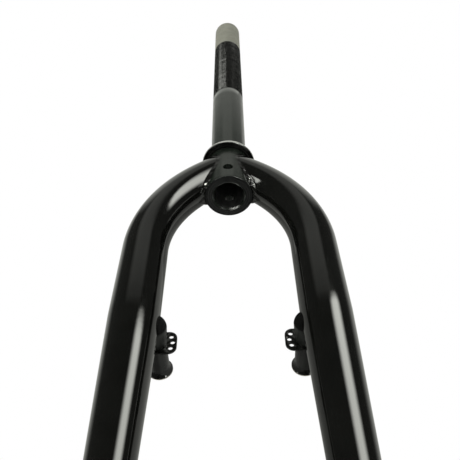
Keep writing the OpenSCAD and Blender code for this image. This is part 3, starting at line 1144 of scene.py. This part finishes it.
@dataclass
class BrakeBoss:
    """A welded pedestal with its spring plate, stud and sleeve."""

    side: Side
    x: float = 40.0
    z: float = -155.9
    pedestal: float = 7.0
    pedestal_front: float = 5.9
    pedestal_edge: float = 0.4
    # Rows of the rear dome that take the near-black matte, darker than the cone: painted shade.
    painted_shade_rows: int = 19
    rear: float = 2.8
    front: float = 14.2
    plate: float = 1.2
    plate_height: float = 14.6
    plate_reach: float = 11.2
    plate_corner: float = 4.4
    plate_edge: float = 0.18
    spring_hole: float = 1.3
    spring_circle: float = 8.9
    spring_step: float = 26.0
    stud: float = 4.0
    stud_length: float = 20.6
    spigot: float = 3.45
    spigot_length: float = 2.9
    collar: float = 6.0
    collar_thickness: float = 2.4
    thread: float = 2.5
    thread_depth: float = 15.0
    sleeve: float = 5.5
    sleeve_bore: float = 4.15
    sleeve_length: float = 19.2
    lip: float = 7.1
    lip_thickness: float = 1.4
    flare: float = 2.6
    dark_flare_rows: int = 7
    segments: int = 72

    def turned(
        self,
        name: str,
        profile: np.ndarray,
        finishes: list[Surface],
        slots: int | np.ndarray = 0,
        hollow: bool = False,
        smooth_angle: float = SHARP,
    ) -> bpy.types.Object:
        """Turns a profile about the stud's axis, on this side of the fork.

        Args:
            name: the piece's name, without its side.
            profile: rows of radius and Y.
            finishes: its material slots in order.
            slots: material slot, one number or one for each row of cells.
            hollow: whether the profile closes on itself.
            smooth_angle: edges sharper than this stay sharp.

        Returns:
            The object.
        """
        grid = revolve(profile, Axis.Y, (self.x, 0.0, self.z), self.segments)
        shell = Shell(self.side.word + "_" + name, finishes)
        shell.add_grid(grid * np.array([self.side.value, 1.0, 1.0]), slots, wrap_rows=hollow)
        return shell.make(smooth_angle)

    def build_pedestal(self) -> None:
        """Makes the pedestal: a round rear that runs into the blade, and a cone to its front."""
        edge = self.pedestal_edge
        cone = np.linspace((self.pedestal, self.rear), (self.pedestal_front, self.front), 9)[1:-1]
        profile = np.concatenate([
            arc(self.pedestal, -89.0, 0.0, 22) + np.array([0.0, self.rear]),
            cone,
            arc(edge, 0.0, 90.0, 5) + np.array([self.pedestal_front - edge, self.front - edge]),
        ])
        # The rear dome is darker than the cone of the same paint: painted shade.
        slots = np.where(np.arange(len(profile) - 1) < self.painted_shade_rows, 0, 1)
        finishes = [Surface.HOLE, Surface.CAST]
        piece = self.turned("pedestal_body", profile, finishes, slots, smooth_angle=38.0)
        keep(piece, self.side.word + "_pedestal")

    def plate_outline(self) -> np.ndarray:
        """Outline of the spring plate about the stud, x outwards and y up.

        Returns:
            The points in order: a half circle outside, and two round corners.
        """
        half, c = self.plate_height / 2, self.plate_corner
        top = arc(c, 90.0, 180.0, 12) + np.array([c - self.plate_reach, half - c])
        bottom = top[::-1] * np.array([1.0, -1.0])
        return np.concatenate([arc(half, -90.0, 90.0, 33), top, bottom])

    def spring_drill(self, step: int) -> bpy.types.Object:
        """Makes the drill for one of the spring plate's holes.

        Args:
            step: place of the hole, -1, 0 or 1 from the lowest to the highest.

        Returns:
            The drill.
        """
        turn = math.radians(step * self.spring_step)
        x = self.x - self.spring_circle * math.cos(turn)
        z = self.z - self.spring_circle * math.sin(turn)
        hole = np.array([(self.spring_hole, 10.0), (self.spring_hole, 20.0)])
        drill = Shell("spring_drill_%d" % (step + 1), [Surface.ENAMEL])
        drill.add_grid(revolve(hole, Axis.Y, (self.side.value * x, 0.0, z), 32))
        return drill.make()

    def build_plate(self) -> None:
        """Makes the spring plate with its three holes."""
        x, z = (np.array([self.x, self.z]) + self.plate_outline()).T
        x = self.side.value * x
        levels = (self.front, self.front + self.plate)
        near, far = (np.stack([x, np.full(len(x), y), z], axis=-1) for y in levels)
        name = self.side.word + "_spring_plate_sheet"
        piece = make_plate(name, near, far, flip=self.side is Side.RIGHT)
        cut(piece, [self.spring_drill(step) for step in (-1, 0, 1)])
        round_edges(piece, self.plate_edge, 2, 50.0)
        keep(piece, self.side.word + "_spring_plate")

    def build_stud(self) -> None:
        """Turns the stud with its spigot, collar and threaded end."""
        root = self.front + self.plate
        face = root + self.collar_thickness
        end = root + self.stud_length
        profile = np.array([
            (0.02, root - self.spigot_length), (self.spigot, root - self.spigot_length),
            (self.spigot, root), (self.collar - 0.25, root), (self.collar, root + 0.25),
            (self.collar, face - 0.35), (self.collar - 0.1, face - 0.1), (self.collar - 0.35, face),
            (self.stud, face), (self.stud, end - 0.5), (self.stud - 0.5, end),
            (self.thread + 0.5, end), (self.thread, end - 0.5),
            (self.thread, end - self.thread_depth), (0.02, end - self.thread_depth - 1.2),
        ])
        keep(self.turned("stud_body", profile, [Surface.ENAMEL]), self.side.word + "_brake_stud")

    def build_sleeve(self) -> None:
        """Turns the moulded sleeve with its flared lip."""
        start = self.front + self.plate + self.collar_thickness
        end = start + self.sleeve_length
        flare_start = end - self.lip_thickness - self.flare
        t = np.linspace(0.0, 1.0, 9)
        flare_r = self.sleeve + (self.lip - self.sleeve) * t * t
        foot = [
            (self.sleeve_bore + 0.3, start), (self.sleeve - 0.5, start),
            (self.sleeve - 0.12, start + 0.14), (self.sleeve, start + 0.5),
        ]
        tube = [(self.sleeve, y) for y in np.linspace(start + 2.0, flare_start - 0.5, 6)]
        skin = foot + tube + list(zip(flare_r, flare_start + self.flare * t))
        body = len(skin)
        skin += [
            (self.lip, end - 0.75), (self.lip, end - 0.3), (self.lip - 0.08, end - 0.1),
            (self.lip - 0.4, end), (self.sleeve_bore + 0.4, end),
            (self.sleeve_bore, end - 0.4), (self.sleeve_bore, start + 0.3),
        ]
        slots = np.zeros(len(skin), dtype=int)
        slots[body:body + 3] = 1
        slots[body - self.dark_flare_rows:body] = 2
        finishes = [Surface.MOULDED, Surface.PALE_EDGE, Surface.ENAMEL]
        piece = self.turned("sleeve_moulding", np.array(skin), finishes, slots, hollow=True)
        keep(piece, self.side.word + "_stud_sleeve")

    def build(self) -> None:
        """Makes the four pieces of the boss."""
        self.build_pedestal()
        self.build_plate()
        self.build_stud()
        self.build_sleeve()


@dataclass(frozen=True)
class Room:
    """The room that shows in gloss, as brightness by azimuth and elevation.

    Each pair is where a ramp starts and ends, and each four adds the
    brightness at its two ends. Azimuth 0 is behind the fork, on the camera's
    side, and grows to the right. plain is the even light on matte surfaces.
    """

    plain: float = 0.6
    walls: float = 0.075
    ahead: tuple[float, ...] = (88.0, 125.0, 0.0, 0.65)
    overhead: tuple[float, ...] = (57.0, 70.0, 0.0, 0.85)
    ceiling: tuple[float, ...] = (39.0, 50.0, 0.0, 0.5)
    ceiling_left: tuple[float, ...] = (-54.0, -26.0)
    ceiling_right: tuple[float, ...] = (40.0, 20.0)

    def build(self) -> None:
        """Sets the world: a plain soft light, and the room for gloss and glass."""
        world = bpy.data.worlds.new("studio_room")
        bpy.context.scene.world = world
        nodes = NodeTree(world)
        way = nodes.add("TexCoord").outputs["Generated"]
        x, y, z = nodes.add("SeparateXYZ", {0: way}).outputs
        azimuth = nodes.math("ARCTAN2", x, nodes.math("MULTIPLY", y, -1.0))
        azimuth = nodes.math("MULTIPLY", azimuth, DEGREES)
        elevation = nodes.math("MULTIPLY", nodes.math("ARCSINE", z), DEGREES)
        left = nodes.ramp(azimuth, *self.ceiling_left)
        ceiling = nodes.math("MULTIPLY", left, nodes.ramp(azimuth, *self.ceiling_right))
        ceiling = nodes.math("MULTIPLY", ceiling, nodes.ramp(elevation, *self.ceiling))
        light = nodes.math("MAXIMUM", ceiling, self.walls)
        light = nodes.math("MAXIMUM", light, nodes.ramp(elevation, *self.overhead))
        ahead = nodes.ramp(nodes.math("ABSOLUTE", azimuth), *self.ahead)
        light = nodes.math("MAXIMUM", light, ahead)
        path = nodes.add("LightPath").outputs
        camera = path["Is Camera Ray"]
        gloss = nodes.math("MAXIMUM", path["Is Glossy Ray"], path["Is Transmission Ray"])
        soft = nodes.add("Background", {"Color": WHITE, "Strength": self.plain})
        picture = nodes.add("Background", {
            "Color": nodes.blend(camera, ROOM_TINT, WHITE),
            "Strength": nodes.math("MAXIMUM", light, camera),
        })
        seen = nodes.math("MAXIMUM", camera, gloss)
        nodes.show(nodes.choose(seen, soft.outputs[0], picture.outputs[0]), "OutputWorld")


@dataclass(frozen=True)
class Board:
    """A flat bright board that only gloss can see: its corners in metres and its light.

    left_strength is the light of its left face, where a board shows both.
    """

    name: str
    corners: np.ndarray
    strength: float
    left_strength: float | None = None

    def build(self) -> None:
        """Hangs the board."""
        mesh = bpy.data.meshes.new(self.name)
        mesh.from_pydata(self.corners.tolist(), [], [list(range(len(self.corners)))])
        material = bpy.data.materials.new(self.name + "_light")
        nodes = NodeTree(material)
        strength = self.strength
        if self.left_strength is not None:
            from_left = nodes.add("NewGeometry").outputs["Backfacing"]
            strength = nodes.ramp(from_left, 0.0, 1.0, self.strength, self.left_strength)
        nodes.show(nodes.glow(strength))
        stage_light(mesh, material)


def stage_light(mesh: bpy.types.Mesh, material: bpy.types.Material) -> None:
    """Places a lit mesh that only gloss can see and that casts no shadow.

    Args:
        mesh: the mesh.
        material: its light.
    """
    mesh.materials.append(material)
    board = place_mesh(mesh)
    board.visible_camera = False
    board.visible_diffuse = False
    board.visible_shadow = False


def flag_corners(y: tuple[float, float], z: tuple[float, float]) -> np.ndarray:
    """Corners in metres of an upright board in the fork's middle plane."""
    return np.array([(0.0, y[0], z[0]), (0.0, y[1], z[0]), (0.0, y[1], z[1]), (0.0, y[0], z[1])])


def round_corners(centre: Triple, width: float) -> np.ndarray:
    """Rim in metres of a round card that lies flat, centre + width / 2 * (cos a, sin a, 0)."""
    return np.array(centre) + around_z(width / 2, circle_angles(40), 0.0)


def sky_corners(corners: Points, distance: float) -> np.ndarray:
    """Corners in metres of a card given by azimuth and elevation, as seen from the crown."""
    return np.array(CROWN) + distance * towards(*np.array(corners).T)


MOUTH_CARD: Points = ((-10.0, -37.0), (-10.0, -34.5), (-56.0, -27.5), (-56.0, -30.0))
CORNER_CARD: Points = ((-43.0, 7.0), (-46.0, 12.0), (-66.0, -1.0))
# The cards hang behind the fork and show in gloss that faces down. The flags
# stand in its middle plane and show in the gloss of the blades' inner sides.
BOARDS = (
    Board("left_low_card", round_corners((-0.47, -0.42, -0.40), 0.24), 6.5),
    Board("right_low_card", round_corners((0.245, -0.29, -0.40), 0.12), 15.0),
    Board("mouth_card", sky_corners(MOUTH_CARD, 0.6), 26.0),
    Board("corner_card", sky_corners(CORNER_CARD, 2.0), 9.0),
    Board("rear_flag", flag_corners((0.018, 0.42), (-0.06, 0.2)), 0.25, 0.25),
    Board("low_flag", flag_corners((0.004, 0.42), (-0.42, -0.06)), 0.3, 0.5),
)


@dataclass(frozen=True)
class Panel:
    """The bright panel that shows as long streaks in the enamel, sizes in metres.

    The fades are the shares of its width and height over which it dims.
    """

    azimuth: float = 38.0
    elevation: float = 12.0
    distance: float = 0.45
    width: float = 0.40
    height: float = 0.42
    aim: Triple = (0.0, 0.0, -0.05)
    strength: float = 9.4
    side_fade: float = 0.4
    end_fade: float = 0.15
    count: int = 25

    def light(self) -> bpy.types.Material:
        """Makes the panel's light, which fades to clear at its edges.

        Returns:
            The material.
        """
        material = bpy.data.materials.new("panel_light")
        nodes = NodeTree(material)
        place = nodes.add("UVMap", uv_map="panel").outputs[0]
        axes = nodes.add("SeparateXYZ", {0: place}).outputs
        strength: object = self.strength
        for axis, fade in ((axes[0], self.side_fade), (axes[1], self.end_fade)):
            for edge, inner in ((0.0, fade), (1.0, 1.0 - fade)):
                strength = nodes.math("MULTIPLY", nodes.ramp(axis, edge, inner), strength)
        clear = nodes.add("BsdfTransparent").outputs[0]
        nodes.show(nodes.add("AddShader", {0: nodes.glow(strength), 1: clear}).outputs[0])
        return material

    def build(self) -> None:
        """Hangs the panel, square to its azimuth and upright."""
        a, n = math.radians(self.azimuth), self.count
        centre = np.array(self.aim) + towards(self.azimuth, self.elevation) * self.distance
        share = np.stack(np.meshgrid(np.linspace(0, 1, n), np.linspace(0, 1, n)), axis=-1)
        offset = (share - 0.5) * np.array([self.width, self.height])
        axes = np.array([(math.cos(a), math.sin(a), 0.0), (0.0, 0.0, 1.0)])
        points = (centre + offset @ axes).reshape(-1, 3)
        index = np.arange(n * n).reshape(n, n)
        quads = np.stack([index[:-1, :-1], index[:-1, 1:], index[1:, 1:], index[1:, :-1]], axis=-1)
        quads = quads.reshape(-1, 4)
        mesh = bpy.data.meshes.new("bright_panel")
        mesh.from_pydata(points.tolist(), [], quads.tolist())
        corner = mesh.uv_layers.new(name="panel")
        corner.data.foreach_set("uv", share.reshape(-1, 2)[quads.ravel()].ravel())
        stage_light(mesh, self.light())


@dataclass(frozen=True)
class Floor:
    """A pale floor that fades into the white background and keeps shadows, in metres.

    Each fade is the range of distance from the middle over which the floor
    turns white, and over which it brightens in gloss.
    """

    height: float = -0.4254
    rings: tuple[float, ...] = (0.35, 0.8, 1.6, 3.2)
    columns: int = 64
    colour: tuple[float, ...] = (0.78, 0.78, 0.78, 1.0)
    fade: tuple[float, ...] = (0.75, 1.5)
    gloss_fade: tuple[float, ...] = (0.7, 1.6, 0.10, 0.3)

    def build(self) -> None:
        """Lays the floor, a disc of rings about a middle point."""
        rings, count = np.array(self.rings), len(self.rings)
        grid = around_z(rings[:, None], circle_angles(self.columns), self.height)
        points = np.concatenate([[[0.0, 0.0, self.height]], grid.reshape(-1, 3)])
        index = np.arange(count * self.columns).reshape(count, self.columns) + 1
        beside = np.roll(index, -1, axis=1)
        quads = np.stack([index[:-1], index[1:], beside[1:], beside[:-1]], axis=-1).reshape(-1, 4)
        fan = np.stack([0 * index[0], index[0], beside[0]], axis=-1)
        mesh = bpy.data.meshes.new("floor")
        mesh.from_pydata(points.tolist(), [], quads.tolist() + fan.tolist())
        material = bpy.data.materials.new("pale_floor")
        nodes = NodeTree(material)
        place = nodes.add("TexCoord").outputs["Object"]
        away = nodes.add("VectorMath", {0: place}, operation="LENGTH").outputs["Value"]
        matte = nodes.add("BsdfDiffuse", {"Color": self.colour}).outputs[0]
        lit = nodes.choose(nodes.ramp(away, *self.fade), matte, nodes.glow(1.0, WHITE))
        shaded = nodes.glow(nodes.ramp(away, *self.gloss_fade))
        nodes.show(nodes.choose(nodes.add("LightPath").outputs["Is Glossy Ray"], lit, shaded))
        mesh.materials.append(material)
        place_mesh(mesh)


@dataclass(frozen=True)
class Lamp:
    """A soft square lamp that no gloss shows, with its place and size in metres."""

    name: str
    place: Triple
    size: float
    power: float
    aim: Triple = (0.0, 0.0, -0.1)

    def build(self) -> None:
        """Hangs the lamp, facing its aim."""
        lamp = bpy.data.lights.new(self.name, "AREA")
        lamp.size = self.size
        lamp.energy = self.power
        lamp_object = bpy.data.objects.new(self.name, lamp)
        bpy.context.collection.objects.link(lamp_object)
        away = unit(np.array(self.place) - np.array(self.aim))
        side = unit(np.cross([0.0, 0.0, 1.0], away))
        lamp_object.matrix_world = placement(side, np.cross(away, side), away, self.place)
        lamp_object.visible_glossy = False
        lamp_object.visible_camera = False


LAMPS = (
    Lamp("key_lamp", (-1.3, -0.7, 0.7), 0.9, 13.0),
    Lamp("fill_lamp", (0.9, -1.0, 0.9), 1.2, 2.5),
)


@dataclass(frozen=True)
class Camera:
    """The camera, below and behind the fork and looking up along it."""

    sensor: float = 36.0
    lens: float = 46.25
    clip: tuple[float, float] = (0.01, 50.0)
    place: Triple = (0.006362, -0.22571, -0.36754)
    right: Triple = (0.99939, 0.03424, -0.006574)
    up: Triple = (0.031028, -0.78742, 0.61562)

    def build(self) -> None:
        """Sets the camera up."""
        camera = bpy.data.cameras.new("camera")
        camera.sensor_width = self.sensor
        camera.lens = self.lens
        camera.clip_start, camera.clip_end = self.clip
        camera_object = bpy.data.objects.new("camera", camera)
        bpy.context.collection.objects.link(camera_object)
        right, up = unit(np.array(self.right)), unit(np.array(self.up))
        camera_object.matrix_world = placement(right, up, np.cross(right, up), self.place)
        bpy.context.scene.camera = camera_object


def placement(x: np.ndarray, y: np.ndarray, z: np.ndarray, place: Triple) -> Matrix:
    """Makes a placement matrix, whose columns are three directions and a point."""
    columns = np.stack([x, y, z, place], axis=-1)
    return Matrix(np.concatenate([columns, [[0.0, 0.0, 0.0, 1.0]]]).tolist())


# Bright balls on each bead, painted highlights that stand in for glints: angle, share across and
# radius.
GLINT_BALLS: dict[Side, Points] = {
    Side.LEFT: ((-148.0, 0.5, 1.15),),
    Side.RIGHT: ((-140.0, 0.45, 0.6), (-149.0, 0.75, 0.75)),
}


def main() -> None:
    """Builds every sub-assembly in order."""
    logging.basicConfig(level=logging.INFO, format="%(name)s %(message)s")
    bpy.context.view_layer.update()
    Steerer().build()
    RaceRing().build()
    for side in Side:
        blade = Blade(side)
        blade.build()
        CrownWeld(blade, GLINT_BALLS[side]).build()
        ForkEnd(side).build()
        BrakeBoss(side).build()
    for staged in (Room(), Floor(), *BOARDS, Panel(), *LAMPS, Camera()):
        staged.build()
    bpy.context.scene.view_settings.view_transform = "Standard"


if __name__ == "__main__":
    main()
